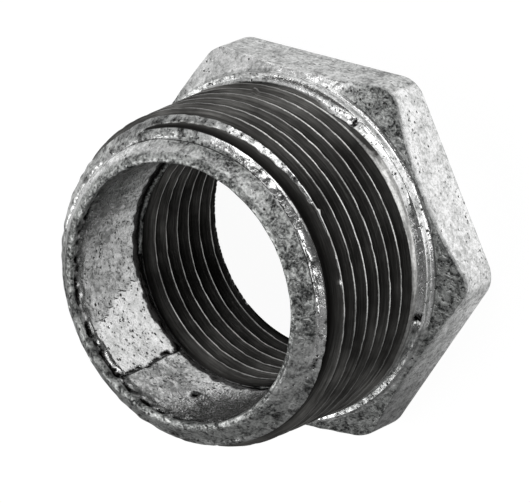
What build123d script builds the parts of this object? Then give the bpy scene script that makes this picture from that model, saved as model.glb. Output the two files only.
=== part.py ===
"""Hexagon reducing bushing: an outer taper pipe thread, size 1 1/4, over an inner parallel pipe thread,
size 1, cast in one piece in malleable iron and hot-dip galvanised.

Millimetres. The origin is the centre of the hexagon's end face, which the bushing stands on, and +Z runs
up the bore to the nose. The outer thread is drawn as rings one pitch apart with no lead, of its true pitch,
angle and taper, with sharp roots. The inner thread is drawn as a plain bore over its crests.
"""

from build123d import *
import os
from math import cos, radians, tan

# Outer taper thread
outer_gauge_diameter = 41.910  # over the crests, at the gauge plane
gauge_length = 12.7  # from the nose's end to the gauge plane
taper = 1 / 16  # on the diameter
pitch = 25.4 / 11
thread_angle = 55  # between the flanks of a groove
crest_width = 0.4

# Inner parallel thread
inner_crest_diameter = 30.291
inner_thread_length = 15.5
countersink_width = 0.6  # on the radius
countersink_angle = 120

# Hexagon
across_flats = 45.0
hexagon_corner_radius = 3.5
hexagon_edge_bevel = 0.6
flat_height = 7.9  # at the middle of each flat
shoulder_angle = 33  # of the sloped shoulder, from level

# Round face that the shank rises from
face_rise = 1.0  # above the shoulder
face_land = 0.65  # from the collar to the face's edge

# Collar of uncut casting below the outer thread
collar_diameter = 42.5
collar_height = 2.0

# Nose
overall_length = 29.5
nose_length = 4.25  # from the last full crest to the end
nose_angle = 41.5  # of its slope, from the axis
rim_outer_radius = 1.2
rim_inner_bevel = 0.3

# Cast hollow in the nose
mouth_diameter = 31.8
hollow_draft = 0.2  # on the radius, over the hollow's depth
hollow_floor_angle = 45  # of the step down to the inner thread, from the axis

# Heights and radii that follow
collar_radius = collar_diameter / 2
face_radius = collar_radius + face_land
slope = tan(radians(shoulder_angle))
foot_height = flat_height + (across_flats / 2 - face_radius) * slope
face_height = foot_height + face_rise
collar_top = face_height + collar_height
nose_start = overall_length - nose_length


def crest_radius(height):
    """Radius of the outer thread's crests."""
    return (outer_gauge_diameter + (overall_length - gauge_length - height) * taper) / 2


def turned(*points, radius=0):
    """Solid of revolution from an outline of radii and heights, with a rounding for each corner."""
    return revolve(Plane.XZ * make_face(FilletPolyline(*points, radius=radius, close=True)), Axis.Z)


def hexagon():
    """Hexagon with cast corners, its top cut to the sloped shoulder and the round face."""
    prism = extrude(RegularPolygon(across_flats / 2, 6, major_radius=False), face_height)
    prism = fillet(prism.edges().filter_by(Axis.Z), hexagon_corner_radius)
    prism = chamfer(prism.faces().sort_by(Axis.Z)[0].edges(), hexagon_edge_bevel)
    sharp_corner = across_flats / 2 / cos(radians(30))
    eaves = flat_height - (sharp_corner - across_flats / 2) * slope
    casting = turned(
        (0, 0), (sharp_corner, 0), (sharp_corner, eaves), (face_radius, foot_height),
        (face_radius, face_height), (0, face_height),
    )
    return prism & casting


def shank():
    """Collar, outer thread with its turns as rings, and nose."""
    flank_slope = tan(radians(thread_angle / 2))
    half_groove = (pitch - crest_width) / 2
    groove_depth = half_groove / flank_slope
    first_root = collar_top + (collar_radius - crest_radius(collar_top) + groove_depth) * flank_slope
    thread = []
    for turn in range(int((nose_start - half_groove - first_root) / pitch) + 1):
        middle = first_root + turn * pitch
        thread += [
            (crest_radius(middle - half_groove), middle - half_groove),
            (crest_radius(middle) - groove_depth, middle),
            (crest_radius(middle + half_groove), middle + half_groove),
        ]
    thread[0] = (collar_radius, collar_top)
    start_radius = crest_radius(nose_start)
    rim_radius = start_radius - nose_length * tan(radians(nose_angle))
    nose = [(start_radius, nose_start), (rim_radius, overall_length), (0, overall_length)]
    corners = [(0, 0), (collar_radius, 0)] + thread + nose
    return turned(*corners, radius=[0] * (len(corners) - 2) + [rim_outer_radius, 0])


def passage():
    """Space of the countersink, the inner thread and the hollow."""
    bore_radius, mouth_radius = inner_crest_diameter / 2, mouth_diameter / 2
    floor_radius = mouth_radius - hollow_draft
    sink_depth = countersink_width / tan(radians(countersink_angle / 2))
    step_height = (floor_radius - bore_radius) / tan(radians(hollow_floor_angle))
    return turned(
        (0, 0), (bore_radius + countersink_width, 0), (bore_radius, sink_depth),
        (bore_radius, inner_thread_length), (floor_radius, inner_thread_length + step_height),
        (mouth_radius, overall_length - rim_inner_bevel), (mouth_radius + rim_inner_bevel, overall_length),
        (0, overall_length),
    )


body = hexagon() + shank() - passage()

os.makedirs("parts", exist_ok=True)
export_step(body, "parts/bushing_body.step")
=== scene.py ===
"""Looks of the hexagon reducing bushing: a galvanised iron casting with dark, oily cut threads.

The body is one closed mesh. Each stretch of it is spun from a straight column of points, which a rule
then puts at their radius and height. Lengths are millimetres until the mesh is turned to metres at the
end, and angles in tables are degrees from +X. A span is the angles that something lies between, then the
length of its soft ends.
"""

from collections import namedtuple
from math import atan2, cos, degrees, floor, hypot, pi, prod, radians, sin, sqrt, tan

import bmesh
import bpy
from mathutils import Matrix, Vector, noise


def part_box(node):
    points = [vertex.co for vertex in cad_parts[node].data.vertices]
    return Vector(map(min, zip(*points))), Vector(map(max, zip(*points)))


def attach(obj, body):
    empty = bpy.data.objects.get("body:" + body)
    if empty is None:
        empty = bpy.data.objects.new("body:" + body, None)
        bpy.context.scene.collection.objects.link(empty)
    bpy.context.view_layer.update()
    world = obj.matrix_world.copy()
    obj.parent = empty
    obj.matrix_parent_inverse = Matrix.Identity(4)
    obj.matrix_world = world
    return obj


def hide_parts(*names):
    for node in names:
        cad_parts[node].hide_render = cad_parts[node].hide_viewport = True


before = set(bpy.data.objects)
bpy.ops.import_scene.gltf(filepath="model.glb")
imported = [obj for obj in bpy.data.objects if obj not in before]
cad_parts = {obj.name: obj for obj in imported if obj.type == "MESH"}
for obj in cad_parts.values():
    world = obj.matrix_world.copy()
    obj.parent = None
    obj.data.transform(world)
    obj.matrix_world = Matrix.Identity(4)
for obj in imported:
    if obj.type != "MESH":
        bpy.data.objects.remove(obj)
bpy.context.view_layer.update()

MM = 0.001
SECTORS = 6  # that each stretch is spun in
COLUMNS = 72  # of faces in a sector
MERGE = 0.0005  # distance within which points become one
NEAR = 0.01  # slack where a radius is tested
SHARP = radians(40)  # between two faces, past which their edge is sharp

# Driving sizes, the first two from the frame
frame_low, frame_high = (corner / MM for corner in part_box("bushing_body"))
overall_length = frame_high.z - frame_low.z
across_flats = frame_high.y - frame_low.y

# Threads, right-hand, so a crest rises with the angle from +X
pitch = 25.4 / 11
thread_depth = 1.479
outer_gauge_diameter = 41.910
gauge_length = 12.7
taper = 1 / 16
inner_crest_radius = 30.291 / 2
outer_crest = (radians(24.2), 25.1)  # angle and height of one crest
inner_crest = (radians(204.2), 2.055)
crest_half = 0.035  # of a pitch
root_half = 0.06
flank_row = 0.24  # where each flank has a row
thread_rows = (  # across a turn: crest, flank, root and flank
    -crest_half, 0, crest_half, flank_row, 0.5 - root_half, 0.5, 0.5 + root_half, 1 - flank_row,
)
outer_fade = (10.19, 10.58)  # heights of the lowest groove where it starts to show and is full
outer_end = (27.3, 26.9)  # heights of the highest groove where it ends on the nose and is full
inner_fade = (15.62, 14.95)  # heights of the highest groove where it ends and is full
cut_from = (10.05, 10.4)  # heights where the cut metal of the shank starts and is whole
cut_depths = (0.15, 0.5)  # depths of a groove where it starts to show cut metal and shows it all over
inner_cut = 0.12  # how far the inner thread cuts into the cast wall where it shows metal all over
# The inner thread's end takes a larger depth mark, which paints it with the shade of a groove's root
inner_end_dark = (14.3, 15.0)  # heights over which the inner thread's end grows dark
inner_end_dark_depth = 1.3  # depth whose darkness it then has

# Hexagon, shoulder and collar
corner_radius = 3.5
edge_radius = 0.5
flat_height = 7.9
shoulder_slope = tan(radians(33))
foot_radius = 21.95
foot_round = 0.45
face_radius = 21.9
face_height = 9.3
collar_radius = 21.25
collar_fade = (11.0, 11.4)  # heights where the collar starts to end and has ended
face_edge_round = 0.12
outer_low = 9.55  # where the outer thread's sheet starts

# Nose and rim
nose_start = overall_length - 4.25
nose_slope = tan(radians(41.5))
outer_high = 27.4  # where the outer thread's sheet ends
rim_round = 1.2
mouth_radius = 15.85
mouth_round = 0.45
nose_offset = 0.55  # of the core and the nose's end from the bushing's axis, towards -Y
offset_full = 25  # height from which the hollow has all of that offset
centred_span = (25, 107, 22)  # where the nose's foot stays on the axis
centred_fade = (27.35, 26.8)  # heights from which and to which it comes back to the axis there
torn_end = (0.12, 0.9)  # how ragged the thread's end is, and over what height
torn_waves = (17, 0.05)  # features of that noise in a radius, and the share of a height that counts

# Hollow and countersink
hollow_radius = 15.65
hollow_floor = 15.5
inner_high = 16.7  # where the inner thread's sheet ends
cast_low = hollow_floor - 0.2  # below this the bore has no cast wall
countersink_radius = inner_crest_radius + 0.6
countersink_slope = tan(radians(60))
thread_end_slope = 3  # of the inner groove's end, so that it stays inside the end face's inner edge

# Zinc that set in the collar's corner
puddle_span = (36, 60, 12)
puddle_width = 0.58
puddle_top = 11.0
puddle_height = 1.7  # from its top down to where it is full


def share(low, high, value):
    """How far value is from low to high, from 0 to 1, with soft ends. High may be the smaller."""
    t = min(1, max(0, (value - low) / (high - low)))
    return t * t * (3 - 2 * t)


def window(value, low, high, soft):
    """1 from low to high, falling to 0 over a soft length outside them."""
    return share(low - soft, low, value) * share(high + soft, high, value)


def blend(a, b, t):
    return a + (b - a) * t


def turned_from(angle, centre):
    """Degrees from a centre angle to an angle, from -180 to 180."""
    return (degrees(angle) - centre + 180) % 360 - 180


def span(angle, start, end, soft):
    """Window of angles in degrees."""
    half = (end - start) / 2
    return window(turned_from(angle, start + half), -half, half, soft)


def crest_line(height):
    """Radius over the outer thread's crests."""
    return (outer_gauge_diameter + (overall_length - gauge_length - height) * taper) / 2


def nose_line(height):
    """Radius of the nose's slope."""
    return crest_line(nose_start) - (height - nose_start) * nose_slope


def hollow_line(height):
    """Radius of the hollow and of the step that it ends in."""
    step = inner_crest_radius + max(0, height - hollow_floor)
    wall = blend(hollow_radius, mouth_radius, (height - hollow_floor) / (overall_length - hollow_floor))
    return min(step, wall)


def hexagon_line(angle):
    """Radius of the hexagon, which has a flat facing +Y."""
    half = across_flats / 2
    off_flat = abs(angle % (pi / 3) - pi / 6)
    flat_end = atan2((half - corner_radius) * tan(pi / 6), half)
    if off_flat < flat_end:
        return half / cos(off_flat)
    off_corner = pi / 6 - off_flat
    centre = (half - corner_radius) / cos(pi / 6)
    return centre * cos(off_corner) + sqrt(corner_radius**2 - (centre * sin(off_corner)) ** 2)


def shoulder_line(radius):
    """Height of the sloped shoulder."""
    return flat_height - (radius - across_flats / 2) * shoulder_slope


def puddle(angle, height):
    """How far zinc that set in the collar's corner stands out from the collar."""
    fullness = min(1, max(0, (puddle_top - height) / puddle_height))
    return puddle_width * span(angle, *puddle_span) * fullness


def thread_phase(angle, height, crest):
    """Where a point lies across the thread, in pitches from the middle of a crest, from -0.5 to 0.5."""
    turns = (height - crest[1]) / pitch - (angle - crest[0]) / (2 * pi)
    return turns - floor(turns + 0.5)


def groove_depth(angle, height, crest, *fades):
    """Depth of the thread at a point, with its run-outs, and how full the groove is there."""
    phase = thread_phase(angle, height, crest)
    cut = min(1, max(0, (abs(phase) - crest_half) / (0.5 - root_half - crest_half)))
    middle = height - (phase - (0.5 if phase > 0 else -0.5)) * pitch
    fullness = prod(share(*fade, middle) for fade in fades)
    return thread_depth * cut * fullness, fullness


# A point's radius and height, whether it is cut, its depth under the crests and under the nose's slope
Spot = namedtuple("Spot", "radius height cut depth gap", defaults=(0, 0, 0))
FAR = 9  # gap of a point that is not near the nose's slope


def outer_thread(angle, height):
    """Outer thread, which the collar and the nose's slope bound."""
    depth, fullness = groove_depth(angle, height, outer_crest, outer_fade, outer_end)
    height = min(outer_high, max(outer_low, height))
    collar = blend(collar_radius, 0, share(*collar_fade, height)) + puddle(angle, height)
    uncut = max(crest_line(height), collar)
    centred = span(angle, *centred_span) * share(*centred_fade, height)
    slope = nose_line(height) - nose_offset * sin(angle) * (1 - centred)
    waves, lean = torn_waves
    ragged, reach = torn_end
    torn = noise.noise(Vector((cos(angle), sin(angle), height * lean)) * waves)
    slope += ragged * torn * share(outer_high, outer_high - reach, height)
    gap = slope - (uncut - depth)
    machined = max(share(*cut_from, height), share(*cut_depths, depth) * fullness)
    return Spot(min(uncut - depth, slope), height, machined, depth, gap)


def inner_thread(angle, height):
    """Inner thread, which the countersink and the hollow bound."""
    depth, fullness = groove_depth(angle, height, inner_crest, inner_fade)
    cut = inner_crest_radius + depth
    height = min(inner_high, max(0, height))
    cut = min(cut, countersink_radius + height * thread_end_slope)
    sink = countersink_radius - height * countersink_slope
    cast = hollow_line(height)
    machined = share(0, inner_cut, max(cut, sink) - cast) if height > cast_low else 1
    # The countersink and the inner thread's end get a larger depth mark, so they take a groove root's
    # painted shade
    depth = thread_depth if sink > cut else max(depth, inner_end_dark_depth * share(*inner_end_dark, height))
    return Spot(max(cut, cast, sink), height, machined, depth, FAR)


def rounded(corner, before, after, radius, t):
    """Point at share t of the arc that rounds a corner between two neighbours."""
    to_before, to_after = (before - corner).normalized(), (after - corner).normalized()
    half = to_before.angle(to_after) / 2
    centre = corner + (to_before + to_after).normalized() * radius / sin(half)
    start = corner + to_before * radius / tan(half) - centre
    end = corner + to_after * radius / tan(half) - centre
    sweep = start.angle(end)
    return centre + (start * sin((1 - t) * sweep) + end * sin(t * sweep)) / sin(sweep)


ARC_STEPS = 4


def outline(corners, radii, spacings):
    """Points along an outline of radii and heights, with rounded corners and a spacing a stretch."""
    points = [Vector(corners[0])]
    for i in range(1, len(corners)):
        corner = Vector(corners[i])
        last = i == len(corners) - 1
        if last or radii[i] == 0:
            arc = [corner]
        else:
            before, after = Vector(corners[i - 1]), Vector(corners[i + 1])
            steps = range(ARC_STEPS + 1)
            arc = [rounded(corner, before, after, radii[i], n / ARC_STEPS) for n in steps]
        run = (arc[0] - points[-1]).length
        steps = max(1, round(run / spacings[i - 1]))
        start = points[-1]
        points += [start.lerp(arc[0], n / steps) for n in range(1, steps)]
        points += arc
    return points


def along(points, distance):
    """Point of an outline at a row number that need not be whole."""
    row = min(len(points) - 2, int(distance))
    return points[row].lerp(points[row + 1], distance - row)


rim_line = outline(
    [(nose_line(outer_high), outer_high), (nose_line(overall_length), overall_length),
     (mouth_radius, overall_length), (hollow_line(inner_high), inner_high)],
    radii=[0, rim_round, mouth_round, 0], spacings=[0.17, 0.3, 0.43],
)


def nose_and_hollow(angle, row):
    """Nose's slope, rim and hollow's wall, which lie off the axis towards the nose's end."""
    radius, height = along(rim_line, row)
    aside = 1 if radius > mouth_radius + mouth_round else share(inner_high, offset_full, height)
    return Spot(radius - nose_offset * aside * sin(angle), height)


base_line = outline(
    [(countersink_radius, 0), (across_flats / 2, 0), (across_flats / 2, flat_height)],
    radii=[0, edge_radius, 0], spacings=[0.7, 0.7],
)
shoulder_rows = 10
foot_line = outline(
    [(foot_radius + foot_round, shoulder_line(foot_radius + foot_round)),
     (foot_radius, shoulder_line(foot_radius)), (face_radius, face_height),
     (collar_radius, face_height), (collar_radius, outer_low)],
    radii=[0, foot_round * 0.8, face_edge_round, 0, 0], spacings=[0.3, 0.3, 0.3, 0.3],
)


def base_and_flats(angle, row):
    """End face, rounded lower edge and flats."""
    radius, height = along(base_line, row)
    side = hexagon_line(angle)
    level_end = across_flats / 2 - edge_radius
    if radius > level_end - NEAR:
        radius += side - across_flats / 2
    else:
        stretch = (side - edge_radius - countersink_radius) / (level_end - countersink_radius)
        radius = countersink_radius + (radius - countersink_radius) * stretch
    if height > edge_radius:
        rise = (height - edge_radius) / (flat_height - edge_radius)
        height = blend(edge_radius, shoulder_line(side), rise)
    return Spot(radius, height)


def shoulder(angle, row):
    """Sloped shoulder."""
    radius = blend(hexagon_line(angle), foot_radius + foot_round, row / shoulder_rows)
    return Spot(radius, shoulder_line(radius))


def foot_and_face(angle, row):
    """Foot of the round face, the face and the collar's foot."""
    radius, height = along(foot_line, row)
    outward = puddle(angle, height) * share(face_radius, collar_radius, radius)
    return Spot(radius + outward, height)


MARKS = ("cut", "depth", "gap")


def spun(rows, place, rise=0.0):
    """Sheet spun from a straight column of points, each then put at its radius and height."""
    bm = bmesh.new()
    marks = [bm.verts.layers.float.new(name) for name in MARKS]
    column = [bm.verts.new((1, 0, row)) for row in rows]
    edges = [bm.edges.new(pair) for pair in zip(column, column[1:])]
    sector = 2 * pi / SECTORS
    bmesh.ops.spin(
        bm, geom=column + edges, axis=(0, 0, 1), cent=(0, 0, 0), angle=sector, steps=COLUMNS,
        dvec=(0, 0, rise / SECTORS / COLUMNS),
    )
    bmesh.ops.spin(
        bm, geom=bm.verts[:] + bm.edges[:] + bm.faces[:], axis=(0, 0, 1), cent=(0, 0, 0),
        angle=2 * pi - sector, steps=SECTORS - 1, dvec=(0, 0, rise / SECTORS), use_duplicate=True,
    )
    for vert in bm.verts:
        angle = atan2(vert.co.y, vert.co.x) % (2 * pi)
        spot = place(angle, vert.co.z)
        vert.co = (spot.radius * cos(angle), spot.radius * sin(angle), spot.height)
        for layer, mark in zip(marks, spot[2:]):
            vert[layer] = mark
    bmesh.ops.remove_doubles(bm, verts=bm.verts, dist=MERGE)
    sheet = bpy.data.meshes.new("sheet")
    bm.to_mesh(sheet)
    bm.free()
    return sheet


def thread_columns(crest, low, high):
    """Heights at the angle 0 of the rows that follow a thread, from a pitch below low up to high."""
    start = crest[1] - crest[0] / (2 * pi) * pitch
    first = floor((low - start) / pitch) - 2
    last = floor((high - start) / pitch) + 2
    rows = [start + (turn + phase) * pitch for turn in range(first, last) for phase in thread_rows]
    lowest = max(i for i, row in enumerate(rows) if row <= low - pitch)
    highest = min(i for i, row in enumerate(rows) if row >= high)
    return rows[lowest:highest + 1]


def build_body():
    """The whole body as one closed mesh in millimetres."""
    sheets = [
        spun(thread_columns(outer_crest, outer_low, outer_high), outer_thread, rise=pitch),
        spun(thread_columns(inner_crest, 0, inner_high), inner_thread, rise=pitch),
        spun(range(len(rim_line)), nose_and_hollow),
        spun(range(len(base_line)), base_and_flats),
        spun(range(shoulder_rows + 1), shoulder),
        spun(range(len(foot_line)), foot_and_face),
    ]
    bm = bmesh.new()
    for name in MARKS:
        bm.verts.layers.float.new(name)
    for sheet in sheets:
        bm.from_mesh(sheet)
        bpy.data.meshes.remove(sheet)
    bmesh.ops.remove_doubles(bm, verts=bm.verts, dist=MERGE)
    bmesh.ops.dissolve_degenerate(bm, edges=bm.edges, dist=MERGE)
    bmesh.ops.recalc_face_normals(bm, faces=bm.faces)
    return bm


def polar(point):
    """Angle from +X, radius and height."""
    return atan2(point.y, point.x) % (2 * pi), hypot(point.x, point.y), point.z


def grain(point, size, shift=0.0):
    """Smooth noise from 0 to 1 with features of a size in mm. A shift gives another pattern."""
    return 0.5 + 0.5 * noise.noise(point / size + Vector((shift, shift, shift)))


flash_angle = 237  # where the halves of the hollow's core met

# Single marks on the casting: angle, height, half widths round and along the axis, depth and darkness
Scar = namedtuple("Scar", "angle height round axial sink dirt")
scars = [
    Scar(93, 14.15, 0.25, 0.25, -0.45, 0),  # bead of zinc on a crest
    Scar(95.5, 8.15, 0.3, 0.25, -0.2, 0),  # bead of zinc on the shoulder
    Scar(38, 24.66, 0.15, 0.7, -0.3, 0),  # burr across the last crest
    Scar(60.5, 9.9, 0.35, 0.45, 0.3, 0.7),  # notch in the collar
    Scar(350, 9.5, 0.45, 0.3, 0.25, 0.7),  # nick at the collar's foot
    Scar(262, 22.0, 0.35, 0.3, 0.3, 1),  # blowhole in the hollow
]
scar_fall = (2, 0.6)  # half widths from its middle at which a mark ends and is whole

# Cast surface: depths, then widths of the features
swell = (0.10, 4.5)
coarse_sand = (0.10, 1.9)
fine_sand = (0.11, 0.9)
sand_filled = 0.85  # share of the sand's depth that the brightest zinc fills

# Bounds of the casting's parts, and how much of the relief above each of them has
flat_low = edge_radius * 0.7
flat_lean = 0.45  # of a normal upwards, past which the point isn't on a flat
band_heights = (face_height - 1.3, 10.7)
band_radii = (collar_radius - 0.4, foot_radius + foot_round)
hollow_reach = mouth_radius + 0.9
hollow_low = hollow_floor + 0.4
nose_low = nose_start - 0.4
relief_of = {"flat": 0.4, "end face": 0.3, "band": 0.45, "hollow": 0.8, "nose": 1, "shoulder": 1}

# Chips along the crests of the threads, above the countersink
crest_depth = 0.1
chip_low = 1
chip_depth = 0.07
chip_width = 1.3

# Crack under the mouth, painted dark inside as its shade
crack_span = (130, 320, 14)
crack_height = 28.45
crack_wander = (0.35, 2.2)  # how far down it strays, and over what width
crack_edges = (0.3, 0.22, 0.4)  # its reach down and up, and its soft edges
crack_depths = (0.12, 0.62)
crack_shade = (0.3, 1)

# Flash line in the hollow
flash_wander = (1.3, 1.7)  # how far it strays in all, and over what width
flash_edges = (0.04, 0.24)  # half its width, and its soft edges
flash_top = (28.4, 27.6)  # heights at which it ends and is whole
flash_depths = (0.08, 0.28)
flash_dirt = (0.45, 1)

# Ragged foot of the hollow
foot_height = 17.4
foot_wander = (0.9, 1.3)
foot_reach = 0.5  # down to where it is whole
foot_depth = (0.3, 1.2)  # and the width of its hollows
specks = (0.26, -36, -1, 4)  # darkness of the specks beside the flash line, then their span from it

# Fine turned line round the nose, whose groove is painted dark as its shade, and the torn metal between
# it and the thread
step_span = (13, 163, 8)
step_height = 27.65
step_centre = 65
step_climb = (45, 100)  # degrees past that angle over which the line rises
step_rise = 0.9
step_ripple = (0.1, 5)  # height and number of its waves
step_line = (0.1, 0.06, 0.11)  # how far below the line its groove starts and ends, and its soft edges
step_depth = 0.13
step_shelf = (0.1, 0.25)  # how far the metal below the line lies lower, and over what height
step_shade = 0.7
torn_band = (25.2, 27.3, 0.35)  # heights from and to, with their soft ends
torn_width = 0.95
torn_depth = 0.28
torn_dirt = 0.55
oil_band = (24.6, 26.5, 0.3)
oil_span = (50, 125, 15)
oil_dirt = 0.32

# How bright the zinc is: its own tone with painted light and shade. A glow is a brighter stretch of
# painted
# highlight: how much, its span, and its heights from and to with their soft ends.
Glow = namedtuple("Glow", "amount start end soft low high fade", defaults=(0, overall_length, 0.6))
# The flats in view get a brightness by the side they face: painted light and shade on one zinc
flat_painted_light = {30: 0.8, 90: 0.33, -30: 0.38}  # of the flats in view, by the angle that they face
hidden_flat_shine = 0.45
plain_shine = {"end face": 0.5, "band": 0.3, "nose": 0.02, "shoulder": 0.03}
# Painted highlights and painted light, by the angle round the bushing and the height
glows = {
    "end face": [],
    "band": [Glow(0.85, 35, 61, 10), Glow(1, -8, 20, 8), Glow(0.4, 72, 92, 8)],
    "nose": [
        Glow(0.5, 113, 163, 22, high=28.6),
        Glow(0.6, -5, 60, 15, 26.2, 27.5, 0.3),  # torn metal
        Glow(0.25, 58, 100, 15, low=28.6),  # rim
        Glow(0.25, -34, -12, 10),
    ],
    "shoulder": [Glow(0.65, 79, 127, 15), Glow(0.12, 28, 44, 10)],
}

# The patch is brighter zinc with a painted highlight; the walls beside and below it carry painted shade
# The hollow's bright patch ends at the flash line, in degrees from it
patch_start = -35
patch_lean = (1.5, 18.5)  # degrees a mm that its start leans, and the height from which it does
patch_ragged = (8, 1.2)  # degrees that its start strays, and over what width
patch_end = (-0.5, 3)  # its end, and the soft ends of both sides
patch_band = (16.8, 27.9, 0.8)  # heights from and to, with their soft ends
beside_patch = (0.22, 0.28, -65, 0, 30)  # least brightness, how much more near the patch, and its span
below_patch = (0.45, 0.3, 12, 35)  # brightness, how much more further on, and from where to where
below_span = (0.5, 60, 12)
lip_fade = (28.7, 28.2)  # heights at which the hollow's brightness ends and is whole

# How bright the crests are: rubbed everywhere, then how much more painted highlight, and the span of that
outer_rub_and_highlight = (0.2, 0.8, 4, 65, 28)
inner_rub_and_highlight = (0.12, 0.48, 210, 295, 30)


def region_of(radius, height, normal):
    """Which part of the casting a point is on. The last takes in the shank and the bore too."""
    if radius > foot_radius + foot_round and height > flat_low and abs(normal.z) < flat_lean:
        return "flat"
    if height < edge_radius:
        return "end face"
    if band_heights[0] < height < band_heights[1] and band_radii[0] < radius < band_radii[1]:
        return "band"
    if radius < hollow_reach and height > hollow_low:
        return "hollow"
    if height > nose_low:
        return "nose"
    return "shoulder"


def stray(point, wander, shift):
    """How far a line strays at a point, to either side."""
    reach, width = wander
    return reach * (grain(point, width, shift) - 0.5)


def scar_of(angle, height, radius):
    """Depth and darkness of the single marks at a point."""
    sink = dirt = 0
    for scar in scars:
        round_off = turned_from(angle, scar.angle) * radians(1) * radius / scar.round
        axial_off = (height - scar.height) / scar.axial
        shown = share(*scar_fall, hypot(round_off, axial_off))
        sink += scar.sink * shown
        dirt = max(dirt, scar.dirt * shown)
    return sink, dirt


def hollow_seat(point, angle, radius, height):
    """Sink and darkness of the crack under the mouth, painted dark inside as shade, of the flash line and
    of the ragged foot of the hollow.
    """
    ragged = share(0.25, 0.75, grain(point, 0.9, 11))
    reach, width = crack_wander
    crack = crack_height - reach * share(0.3, 0.7, grain(point, width, 15))
    down, up, soft = crack_edges
    edge = window(height, crack - down, crack + up, soft) * span(angle, *crack_span)
    sink = edge * blend(*crack_depths, ragged)
    dirt = edge * blend(*crack_shade, ragged)
    off = turned_from(angle, flash_angle) * radians(1) * radius + stray(point, flash_wander, 5)
    half, soft = flash_edges
    flash = window(off, -half, half, soft) * share(*flash_top, height)
    shown = share(0.3, 0.55, grain(point, 1.1, 9))
    sink += flash * blend(*flash_depths, shown)
    dirt = max(dirt, flash * blend(*flash_dirt, shown))
    foot = foot_height + stray(point, foot_wander, 13)
    floor_edge = share(foot, foot - foot_reach, height)
    depth, width = foot_depth
    sink += depth * floor_edge * grain(point, width, 13)
    speckled = specks[0] * window(off / radius / radians(1), *specks[1:])
    return sink, max(dirt, floor_edge, speckled)


def nose_seat(point, angle, height):
    """Sink and darkness of the turned line, whose groove is painted dark as shade, and of the torn metal
    and the oil on the nose.
    """
    ripple, waves = step_ripple
    line = step_height + step_rise * share(*step_climb, turned_from(angle, step_centre))
    line += ripple * sin(angle * waves)
    shown = span(angle, *step_span)
    start, end, soft = step_line
    groove = window(height, line - start, line - end, soft)
    shelf, drop = step_shelf
    sink = shown * (step_depth * groove + shelf * share(line, line - drop, height))
    torn = share(0.5, 0.68, grain(point, torn_width, 21)) * window(height, *torn_band)
    sink += torn_depth * torn * blend(0.45, 1, shown)
    oily = oil_dirt * window(height, *oil_band) * span(angle, *oil_span)
    return sink, max(step_shade * shown * groove, torn_dirt * torn, oily)


def seat_of(point, normal, cut, tone_and_painted_light):
    """How far the casting's skin lies under its true form at a point, and how dark it is there from dirt
    and painted shade.

    Thick, bright zinc fills the sand's grain.
    """
    angle, radius, height = polar(point)
    region = region_of(radius, height, normal)
    sand = coarse_sand[0] * grain(point, coarse_sand[1], 3)
    sand += fine_sand[0] * grain(point, fine_sand[1], 7)
    sink = swell[0] * grain(point, swell[1]) + sand * (1 - sand_filled * min(1, tone_and_painted_light))
    sink *= relief_of[region]
    more = dirt = 0
    if region == "hollow":
        more, dirt = hollow_seat(point, angle, radius, height)
    elif region == "nose":
        more, dirt = nose_seat(point, angle, height)
    scar, stain = scar_of(angle, height, radius)
    return (sink + more) * (1 - cut) + scar, max(dirt, stain)


def rub_and_highlight_of(point):
    """How bright the thread's crests are at a point, from 0 to 1: rubbed all round, with a painted
    highlight over one span of angles.
    """
    angle, radius, height = polar(point)
    plain, more, *where = outer_rub_and_highlight if radius > mouth_radius + 1 else inner_rub_and_highlight
    return plain + more * span(angle, *where)


def hollow_tone_and_light(point, angle, height):
    """Brightness of the hollow: a patch of brighter zinc with a painted highlight that ends at the flash
    line, and greyer zinc with painted shade beside and below.
    """
    off = turned_from(angle, flash_angle)
    lean, lean_low = patch_lean
    start = patch_start + lean * max(0, height - lean_low) + stray(point, patch_ragged, 23)
    patch = window(off, start, *patch_end) * window(height, *patch_band)
    plain, more, *where = beside_patch
    beside = plain + more * window(off, *where)
    plain, more, *climb = below_patch
    below = (plain + more * share(*climb, off)) * window(off, *below_span)
    return max(patch, beside, below) * share(*lip_fade, height)


def tone_and_light_of(point, normal):
    """How bright the zinc is at a point, from 0 to about 1: its own tone with painted light and shade."""
    angle, radius, height = polar(point)
    region = region_of(radius, height, normal)
    if region == "flat":
        side = round(turned_from(angle, 30) / 60) * 60 + 30
        return flat_painted_light.get(side, hidden_flat_shine)
    if region == "hollow":
        return hollow_tone_and_light(point, angle, height)
    tone_and_painted_light = plain_shine[region]
    for glow in glows[region]:
        here = span(angle, glow.start, glow.end, glow.soft)
        tone_and_painted_light += glow.amount * here * window(height, glow.low, glow.high, glow.fade)
    return tone_and_painted_light


bm = build_body()
bm.normal_update()
cut_layer, depth_layer = (bm.verts.layers.float[name] for name in ("cut", "depth"))
tone_and_light_layer, dirt_and_shade_layer = (bm.verts.layers.float.new(name) for name in ("tone_and_painted_light", "dirt"))
moves = []
# Each point gets a tone mark, the zinc's own tone with painted light and shade, and a darkness mark, dirt
# with painted shade
for vert in bm.verts:
    cut = vert[cut_layer]
    tone_and_painted_light = blend(tone_and_light_of(vert.co, vert.normal), rub_and_highlight_of(vert.co), cut)
    sink, dirt = seat_of(vert.co, vert.normal, cut, tone_and_painted_light)
    if cut > 0 and vert[depth_layer] < crest_depth and vert.co.z > chip_low:
        sink += chip_depth * cut * share(0.45, 0.8, grain(vert.co, chip_width, 17))
    vert[tone_and_light_layer] = tone_and_painted_light
    vert[dirt_and_shade_layer] = dirt
    moves.append(-sink * vert.normal)
for vert, move in zip(bm.verts, moves):
    vert.co += move
    vert.co.z = max(0, vert.co.z)
for face in bm.faces:
    face.smooth = True
for edge in bm.edges:
    if len(edge.link_faces) == 2 and edge.calc_face_angle() > SHARP:
        edge.smooth = False
bmesh.ops.scale(bm, vec=(MM, MM, MM), verts=bm.verts)
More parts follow.
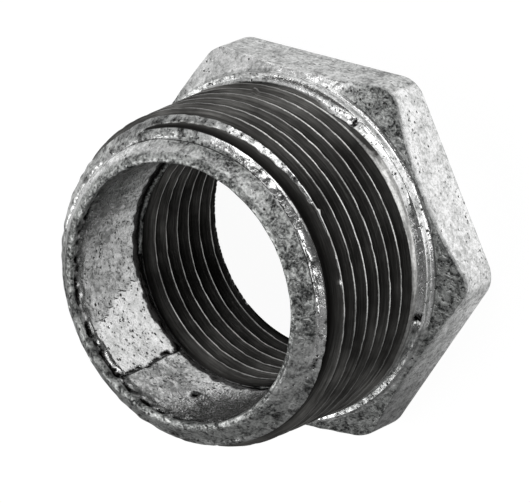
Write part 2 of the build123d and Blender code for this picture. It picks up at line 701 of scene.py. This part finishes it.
mesh = bpy.data.meshes.new("galvanised_body")
bm.to_mesh(mesh)
bm.free()
body = bpy.data.objects.new("galvanised_body", mesh)
bpy.context.scene.collection.objects.link(body)
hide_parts("bushing_body")
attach(body, "root")


def linear(hex_colour):
    """An sRGB hex colour as linear values."""
    channels = [int(hex_colour[i:i + 2], 16) / 255 for i in (1, 3, 5)]
    return [c / 12.92 if c <= 0.04045 else ((c + 0.055) / 1.055) ** 2.4 for c in channels] + [1]


def add(tree, kind, out=0, settings=None, **links):
    """Adds a node and gives back one of its outputs, or the node if it has none.

    Settings are the node's own properties. A link is an input by name, or by number after an underscore,
    with a value or another node's output. A Mix node's inputs go by number: 0 is the share, 2 and 3 are
    its values, 6 and 7 its colours.
    """
    node = tree.nodes.new(kind)
    for name, value in (settings or {}).items():
        setattr(node, name, value)
    for name, value in links.items():
        socket = node.inputs[int(name[1:])] if name[0] == "_" else node.inputs[name.replace("_", " ")]
        if isinstance(value, bpy.types.NodeSocket):
            tree.links.new(value, socket)
        else:
            socket.default_value = value
    return node.outputs[out] if node.outputs else node


MULTIPLY, ADD, SUBTRACT = ({"operation": name} for name in ("MULTIPLY", "ADD", "SUBTRACT"))
MAXIMUM, SCALE, DOT = ({"operation": name} for name in ("MAXIMUM", "SCALE", "DOT_PRODUCT"))
COLOUR = {"data_type": "RGBA"}


def material(name):
    """A new material with an empty node tree, and that tree."""
    made = bpy.data.materials.new(name)
    made.use_nodes = True
    made.node_tree.nodes.clear()
    return made, made.node_tree


def millimetres(tree):
    """Object coordinates in millimetres."""
    place = add(tree, "ShaderNodeTexCoord", "Object")
    return add(tree, "ShaderNodeVectorMath", settings=SCALE, _0=place, Scale=1 / MM)


# Widths of the zinc's features, or how far apart they lie
cloud_width = 2.5
mottle_width = 0.909
zinc_grit_width = 0.3125
pinhole_spacing = 0.8696
spot_spacing = 0.4762
hole_depth = 0.12

# Cut metal: fine lines along the thread, by their length, width down the flank and width up the shank
line_length = 5.987
line_width = 0.2
line_rise = 0.909
oil_width = 4.545
cut_grit_width = 0.4167
cut_relief = 0.06


def zinc_skin(tree, place, tone_and_painted_light, dirt):
    """Hot-dip zinc over sand-cast iron: spangled light and dark, pitted, dull where it has weathered and
    where shade is painted, bright where light is painted.

    The eye sees mottling about 0.9 mm wide, finer grit on it, and black pinholes. Where the zinc is thick
    and bright it also scatters light, so it reads white from every side. Gives colour, roughness,
    metallic and height in mm.
    """
    # Patterns
    cloud = add(tree, "ShaderNodeTexNoise", Vector=place, Scale=1 / cloud_width, Detail=3)
    mottle = add(tree, "ShaderNodeTexNoise", Vector=place, Scale=1 / mottle_width, Detail=5,
                 Roughness=0.62, Distortion=0.9)
    grit = add(tree, "ShaderNodeTexNoise", Vector=place, Scale=1 / zinc_grit_width, Detail=3,
               Roughness=0.6)
    pinholes = add(tree, "ShaderNodeTexVoronoi", "Distance", Vector=place, Scale=1 / pinhole_spacing)
    spots = add(tree, "ShaderNodeTexVoronoi", "Distance", Vector=place, Scale=1 / spot_spacing)
    # Pinholes where the cloud is light, and smaller spots where the mottling is dark
    pit = add(tree, "ShaderNodeMapRange", Value=pinholes, From_Min=0.24, From_Max=0.1)
    pit_shown = add(tree, "ShaderNodeMapRange", Value=cloud, From_Min=0.45, From_Max=0.6)
    pit = add(tree, "ShaderNodeMath", settings=MULTIPLY, _0=pit, _1=pit_shown)
    spot = add(tree, "ShaderNodeMapRange", Value=spots, From_Min=0.3, From_Max=0.12)
    spot_shown = add(tree, "ShaderNodeMapRange", Value=mottle, From_Min=0.5, From_Max=0.42)
    spot = add(tree, "ShaderNodeMath", settings=MULTIPLY, _0=spot, _1=spot_shown)
    holes = add(tree, "ShaderNodeMath", settings=MAXIMUM, _0=pit, _1=spot)
    # Tone of the mottling, and where it shows dull or bright zinc, which also carries the painted light
    # and shade
    fine = add(tree, "ShaderNodeMix", _0=0.4, _2=mottle, _3=grit)
    mixed = add(tree, "ShaderNodeMix", _0=0.25, _2=fine, _3=cloud)
    tone = add(tree, "ShaderNodeMapRange", Value=mixed, From_Min=0.41, From_Max=0.58)
    ragged = add(tree, "ShaderNodeMath", settings=MULTIPLY, _0=mixed, _1=0.9)
    ragged = add(tree, "ShaderNodeMath", settings=ADD, _0=tone_and_painted_light, _1=ragged)
    shown = add(tree, "ShaderNodeMapRange", Value=ragged, From_Min=0.45, From_Max=1.3)
    dull = add(tree, "ShaderNodeMix", 2, COLOUR, _0=tone, _6=linear("#343535"), _7=linear("#B2B4B2"))
    bright = add(tree, "ShaderNodeMix", 2, COLOUR, _0=tone, _6=linear("#C6C7C6"), _7=linear("#FCFCFC"))
    colour = add(tree, "ShaderNodeMix", 2, COLOUR, _0=shown, _6=dull, _7=bright)
    colour = add(tree, "ShaderNodeMix", 2, COLOUR, _0=holes, _6=colour, _7=linear("#2C2B29"))
    # Dirt and painted shade, with a gritty edge
    darkened = add(tree, "ShaderNodeMath", settings=ADD, _0=dirt, _1=grit)
    darkened = add(tree, "ShaderNodeMapRange", Value=darkened, From_Min=0.75, From_Max=1.15)
    colour = add(tree, "ShaderNodeMix", 2, COLOUR, _0=darkened, _6=colour, _7=linear("#1B1A19"))
    # Bright zinc is smoother, more mirror-like and flatter
    roughness = add(tree, "ShaderNodeMapRange", Value=shown, To_Min=0.42, To_Max=0.16)
    metallic = add(tree, "ShaderNodeMapRange", Value=shown, To_Min=0.88, To_Max=0.95)
    relief = add(tree, "ShaderNodeMix", _0=0.3, _2=mottle, _3=grit)
    strength = add(tree, "ShaderNodeMapRange", Value=shown, To_Min=0.5, To_Max=0.05)
    relief = add(tree, "ShaderNodeMath", settings=MULTIPLY, _0=relief, _1=strength)
    deep = add(tree, "ShaderNodeMath", settings=MULTIPLY, _0=holes, _1=hole_depth)
    height = add(tree, "ShaderNodeMath", settings=SUBTRACT, _0=relief, _1=deep)
    return colour, roughness, metallic, height


def cut_iron(tree, place, depth, rub_and_highlight):
    """Die-cut malleable iron under old cutting oil.

    The eye sees fine lines along the thread, near black grooves that are darkest at the root as painted
    shade, and crests that are rubbed bright with a painted highlight. Gives colour, roughness and height
    in mm.
    """
    # Coordinates that change slowly along the thread and fast across it
    flat = add(tree, "ShaderNodeVectorMath", settings=MULTIPLY, _0=place, _1=(1, 1, 0))
    around = add(tree, "ShaderNodeVectorMath", settings={"operation": "NORMALIZE"}, _0=flat)
    around = add(tree, "ShaderNodeVectorMath", settings=SCALE, _0=around,
                 Scale=outer_gauge_diameter / 2 / line_length)
    upwards = add(tree, "ShaderNodeSeparateXYZ", "Z", Vector=place)
    across = add(tree, "ShaderNodeMath", settings=MULTIPLY, _0=depth, _1=1 / line_width)
    along_axis = add(tree, "ShaderNodeMath", settings=MULTIPLY, _0=upwards, _1=1 / line_rise)
    across = add(tree, "ShaderNodeMath", settings=ADD, _0=across, _1=along_axis)
    up = add(tree, "ShaderNodeCombineXYZ", Z=across)
    track = add(tree, "ShaderNodeVectorMath", settings=ADD, _0=around, _1=up)
    lines = add(tree, "ShaderNodeTexNoise", Vector=track, Scale=1, Detail=4, Roughness=0.65)
    oil = add(tree, "ShaderNodeTexNoise", Vector=place, Scale=1 / oil_width, Detail=4)
    grit = add(tree, "ShaderNodeTexNoise", Vector=place, Scale=1 / cut_grit_width, Detail=3,
               Roughness=0.6)
    # Worn metal under blotchy oil, darker as painted shade on the flanks where the crests carry their
    # painted highlight, and darkest at the root, also painted shade
    worn = add(tree, "ShaderNodeMapRange", Value=lines, From_Min=0.38, From_Max=0.68)
    colour = add(tree, "ShaderNodeMix", 2, COLOUR, _0=worn, _6=linear("#52514F"), _7=linear("#92918E"))
    dry = add(tree, "ShaderNodeMapRange", Value=oil, From_Min=0.25, From_Max=0.7)
    flank_shading = add(tree, "ShaderNodeMapRange", Value=rub_and_highlight, To_Min=1.0, To_Max=0.42)
    dry = add(tree, "ShaderNodeMath", settings=MULTIPLY, _0=dry, _1=flank_shading)
    colour = add(tree, "ShaderNodeMix", 2, COLOUR, _0=dry, _6=linear("#2E2D2C"), _7=colour)
    root = add(tree, "ShaderNodeMapRange", Value=depth, From_Min=0.45, From_Max=1.35)
    colour = add(tree, "ShaderNodeMix", 2, COLOUR, _0=root, _6=colour, _7=linear("#1C1B1A"))
    # Rubbed crest with a painted highlight, with a gritty edge and gaps along it
    edge = add(tree, "ShaderNodeMath", settings=MULTIPLY, _0=grit, _1=0.14)
    edge = add(tree, "ShaderNodeMath", settings=SUBTRACT, _0=edge, _1=depth)
    crest = add(tree, "ShaderNodeMapRange", Value=edge, From_Min=0.0, From_Max=0.08)
    patchy = add(tree, "ShaderNodeMapRange", Value=lines, From_Min=0.4, From_Max=0.56, To_Min=0.4,
                 To_Max=1.0)
    patchy = add(tree, "ShaderNodeMath", settings=MULTIPLY, _0=patchy, _1=rub_and_highlight)
    crest = add(tree, "ShaderNodeMath", settings=MULTIPLY, _0=crest, _1=patchy)
    colour = add(tree, "ShaderNodeMix", 2, COLOUR, _0=crest, _6=colour, _7=linear("#F4F4F2"))
    roughness = add(tree, "ShaderNodeMapRange", Value=crest, To_Min=0.4, To_Max=0.3)
    relief = add(tree, "ShaderNodeMix", _0=0.25, _2=lines, _3=grit)
    height = add(tree, "ShaderNodeMath", settings=MULTIPLY, _0=relief, _1=cut_relief)
    return colour, roughness, height


def galvanised_iron():
    """Malleable iron, cast, hot-dip galvanised and then threaded.

    The eye sees grey to white zinc on the casting and dark cut metal in the threads.
    """
    made, tree = material("hot_dip_galvanised_malleable_iron")
    place = millimetres(tree)
    # The marks read here bring painted light and shade into the colour, as well as the zinc's tone and
    # its dirt
    cut, depth, gap, tone_and_painted_light, dirt = (
        add(tree, "ShaderNodeAttribute", "Fac", {"attribute_name": name})
        for name in ("cut", "depth", "gap", "tone_and_painted_light", "dirt")
    )
    skin_colour, skin_roughness, skin_metallic, skin_height = zinc_skin(tree, place, tone_and_painted_light, dirt)
    cut_colour, cut_roughness, cut_height = cut_iron(tree, place, depth, tone_and_painted_light)
    below_nose = add(tree, "ShaderNodeMapRange", Value=gap, From_Min=0.02, From_Max=0.1)
    machined = add(tree, "ShaderNodeMapRange", Value=cut, From_Min=0.35, From_Max=0.65)
    machined = add(tree, "ShaderNodeMath", settings=MULTIPLY, _0=machined, _1=below_nose)
    colour = add(tree, "ShaderNodeMix", 2, COLOUR, _0=machined, _6=skin_colour, _7=cut_colour)
    roughness = add(tree, "ShaderNodeMix", _0=machined, _2=skin_roughness, _3=cut_roughness)
    metallic = add(tree, "ShaderNodeMix", _0=machined, _2=skin_metallic, _3=0.9)
    height = add(tree, "ShaderNodeMix", _0=machined, _2=skin_height, _3=cut_height)
    normal = add(tree, "ShaderNodeBump", Height=height, Distance=MM)
    shader = add(tree, "ShaderNodeBsdfPrincipled", Base_Color=colour, Roughness=roughness,
                 Metallic=metallic, Normal=normal)
    add(tree, "ShaderNodeOutputMaterial", Surface=shader)
    return made


mesh.materials.append(galvanised_iron())

# Camera, from the photo's fitted view
camera_aim = Vector((-0.078, 0.122, 11.417)) * MM
camera_azimuth, camera_elevation = radians(32.515), radians(51.394)
camera_distance = 606.6 * MM
camera_roll = radians(113.194)
focal_pixels, picture_width = 5000, 531
sensor_width = 36


def direction(azimuth, elevation):
    return Vector((cos(elevation) * cos(azimuth), cos(elevation) * sin(azimuth), sin(elevation)))


towards_camera = direction(camera_azimuth, camera_elevation)
camera = bpy.data.objects.new("camera", bpy.data.cameras.new("camera"))
bpy.context.scene.collection.objects.link(camera)
camera.data.sensor_width = sensor_width
camera.data.lens = focal_pixels / picture_width * sensor_width
camera.data.clip_start, camera.data.clip_end = 0.05, 20
level = (-towards_camera).to_track_quat("-Z", "Y").to_matrix().to_4x4()
camera.matrix_world = (
    Matrix.Translation(camera_aim + towards_camera * camera_distance)
    @ level @ Matrix.Rotation(-camera_roll, 4, "Z")
)
bpy.context.scene.camera = camera


# Lamps
lamp_distance = 0.6
middle_height = 15 * MM


def lamp(name, azimuth, elevation, size, power):
    """Soft square lamp that faces the bushing's middle."""
    data = bpy.data.lights.new(name, "AREA")
    data.size = size
    data.energy = power
    made = bpy.data.objects.new(name, data)
    bpy.context.scene.collection.objects.link(made)
    way = direction(radians(azimuth), radians(elevation))
    facing = way.to_track_quat("Z", "Y").to_matrix().to_4x4()
    made.matrix_world = Matrix.Translation(way * lamp_distance + Vector((0, 0, middle_height))) @ facing


lamp("lamp_left", azimuth=212, elevation=54, size=0.4, power=1.5)
lamp("lamp_right", azimuth=60, elevation=5, size=0.3, power=0.8)
lamp("lamp_far", azimuth=95, elevation=38, size=0.3, power=0.6)
lamp("lamp_low", azimuth=20, elevation=22, size=0.3, power=0.9)

# World: white to the eye, and in reflections darker where the camera stands and on one low side
low_side = 275
world = bpy.data.worlds.new("studio")
bpy.context.scene.world = world
world.use_nodes = True
tree = world.node_tree
tree.nodes.clear()
way = add(tree, "ShaderNodeTexCoord", "Generated")
facing = add(tree, "ShaderNodeVectorMath", "Value", DOT, _0=way, _1=towards_camera)
open_side = add(tree, "ShaderNodeMapRange", Value=facing, From_Min=0.3, From_Max=0.88, To_Min=0.85,
                To_Max=0.1)
sideways = add(tree, "ShaderNodeVectorMath", "Value", DOT, _0=way, _1=direction(radians(low_side), 0))
shade = add(tree, "ShaderNodeMapRange", Value=sideways, From_Min=0.2, From_Max=0.9, To_Min=1.0,
            To_Max=0.42)
mirrored = add(tree, "ShaderNodeMath", settings=MULTIPLY, _0=open_side, _1=shade)
camera_ray = add(tree, "ShaderNodeLightPath", "Is Camera Ray")
strength = add(tree, "ShaderNodeMix", _0=camera_ray, _2=mirrored, _3=1.0)
background = add(tree, "ShaderNodeBackground", Strength=strength)
add(tree, "ShaderNodeOutputWorld", Surface=background)

# Floor: white paper, seen white, with the bushing's faint shadow, and shaded across in reflections
bright_side = 95
floor_grid = bmesh.new()
bmesh.ops.create_grid(floor_grid, x_segments=1, y_segments=1, size=3)
floor_mesh = bpy.data.meshes.new("floor")
floor_grid.to_mesh(floor_mesh)
floor_grid.free()
floor_sheet = bpy.data.objects.new("floor", floor_mesh)
bpy.context.scene.collection.objects.link(floor_sheet)
paper, tree = material("white_paper_floor")
rays = add(tree, "ShaderNodeLightPath").node
matt = add(tree, "ShaderNodeBsdfDiffuse", Color=linear("#E8E8E8"))
across = add(tree, "ShaderNodeVectorMath", "Value", DOT, _0=millimetres(tree),
             _1=direction(radians(bright_side), 0))
mirrored = add(tree, "ShaderNodeMapRange", Value=across, From_Min=-22, From_Max=2, To_Min=0.2,
               To_Max=1.0)
strength = add(tree, "ShaderNodeMix", _0=rays.outputs["Is Camera Ray"], _2=mirrored, _3=1.06)
glow = add(tree, "ShaderNodeEmission", Strength=strength)
seen = add(tree, "ShaderNodeMath", settings=MULTIPLY, _0=rays.outputs["Is Camera Ray"], _1=0.9)
white = add(tree, "ShaderNodeMath", settings=MAXIMUM, _0=seen, _1=rays.outputs["Is Glossy Ray"])
mix = add(tree, "ShaderNodeMixShader", _0=white, _1=matt, _2=glow)
add(tree, "ShaderNodeOutputMaterial", Surface=mix)
floor_mesh.materials.append(paper)

bpy.context.scene.view_settings.view_transform = "Standard"
